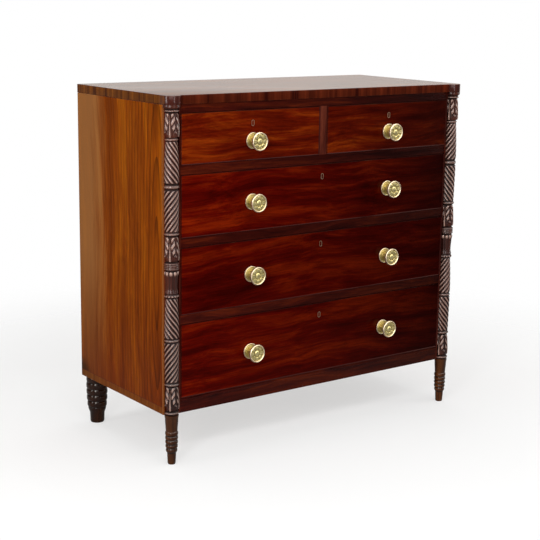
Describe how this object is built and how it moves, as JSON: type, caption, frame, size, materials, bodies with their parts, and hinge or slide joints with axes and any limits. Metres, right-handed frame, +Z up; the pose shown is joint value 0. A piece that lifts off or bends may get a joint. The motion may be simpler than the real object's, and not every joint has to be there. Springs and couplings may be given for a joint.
{
  "type": "chest of drawers",
  "caption": "Mahogany chest with short drawers over long ones, carved rope-twist front columns running into turned legs, and turned brass knobs.",
  "frame": {"origin": "middle of the bounding box, on the floor", "axes": "+Z up, +X to the right of someone facing the drawers, drawers open towards -Y"},
  "size_m": [1.05, 0.503, 1],
  "materials": {
    "mahogany_side": "polished",
    "mahogany_front": "polished",
    "mahogany_dark": "polished",
    "mahogany_top": "polished",
    "oak_lining": "bare",
    "brass": "polished"
  },
  "bodies": {
    "case": {"top": "mahogany_top", "side_left": "mahogany_side", "side_right": "mahogany_side", "back": "oak_lining", "bottom_board": "oak_lining", "corner_post_left": "mahogany_dark", "corner_post_right": "mahogany_dark", "rail_top": "mahogany_dark", "rail_1": "mahogany_dark", "rail_2": "mahogany_dark", "rail_3": "mahogany_dark", "rail_bottom": "mahogany_dark", "divider": "mahogany_dark", "dust_board_1": "oak_lining", "dust_board_2": "oak_lining", "dust_board_3": "oak_lining", "front_column_left": "mahogany_dark", "front_column_right": "mahogany_dark", "rear_foot_left": "mahogany_dark", "rear_foot_right": "mahogany_dark"},
    "drawer_top_left": {"drawer_top_left_front": "mahogany_front", "drawer_top_left_side_left": "oak_lining", "drawer_top_left_side_right": "oak_lining", "drawer_top_left_back": "oak_lining", "drawer_top_left_bottom": "oak_lining", "drawer_top_left_escutcheon": "brass", "drawer_top_left_knob": "brass"},
    "drawer_top_right": {"drawer_top_right_front": "mahogany_front", "drawer_top_right_side_left": "oak_lining", "drawer_top_right_side_right": "oak_lining", "drawer_top_right_back": "oak_lining", "drawer_top_right_bottom": "oak_lining", "drawer_top_right_escutcheon": "brass", "drawer_top_right_knob": "brass"},
    "drawer_second": {"drawer_second_front": "mahogany_front", "drawer_second_side_left": "oak_lining", "drawer_second_side_right": "oak_lining", "drawer_second_back": "oak_lining", "drawer_second_bottom": "oak_lining", "drawer_second_escutcheon": "brass", "drawer_second_knob_left": "brass", "drawer_second_knob_right": "brass"},
    "drawer_third": {"drawer_third_front": "mahogany_front", "drawer_third_side_left": "oak_lining", "drawer_third_side_right": "oak_lining", "drawer_third_back": "oak_lining", "drawer_third_bottom": "oak_lining", "drawer_third_escutcheon": "brass", "drawer_third_knob_left": "brass", "drawer_third_knob_right": "brass"},
    "drawer_fourth": {"drawer_fourth_front": "mahogany_front", "drawer_fourth_side_left": "oak_lining", "drawer_fourth_side_right": "oak_lining", "drawer_fourth_back": "oak_lining", "drawer_fourth_bottom": "oak_lining", "drawer_fourth_escutcheon": "brass", "drawer_fourth_knob_left": "brass", "drawer_fourth_knob_right": "brass"}
  },
  "joints": [
    {"name": "drawer_top_left_slide", "type": "slide", "parent": "case", "child": "drawer_top_left", "axis": [0, -1, 0], "range_m": [0, 0.34]},
    {"name": "drawer_top_right_slide", "type": "slide", "parent": "case", "child": "drawer_top_right", "axis": [0, -1, 0], "range_m": [0, 0.34]},
    {"name": "drawer_second_slide", "type": "slide", "parent": "case", "child": "drawer_second", "axis": [0, -1, 0], "range_m": [0, 0.34]},
    {"name": "drawer_third_slide", "type": "slide", "parent": "case", "child": "drawer_third", "axis": [0, -1, 0], "range_m": [0, 0.34]},
    {"name": "drawer_fourth_slide", "type": "slide", "parent": "case", "child": "drawer_fourth", "axis": [0, -1, 0], "range_m": [0, 0.34]}
  ]
}
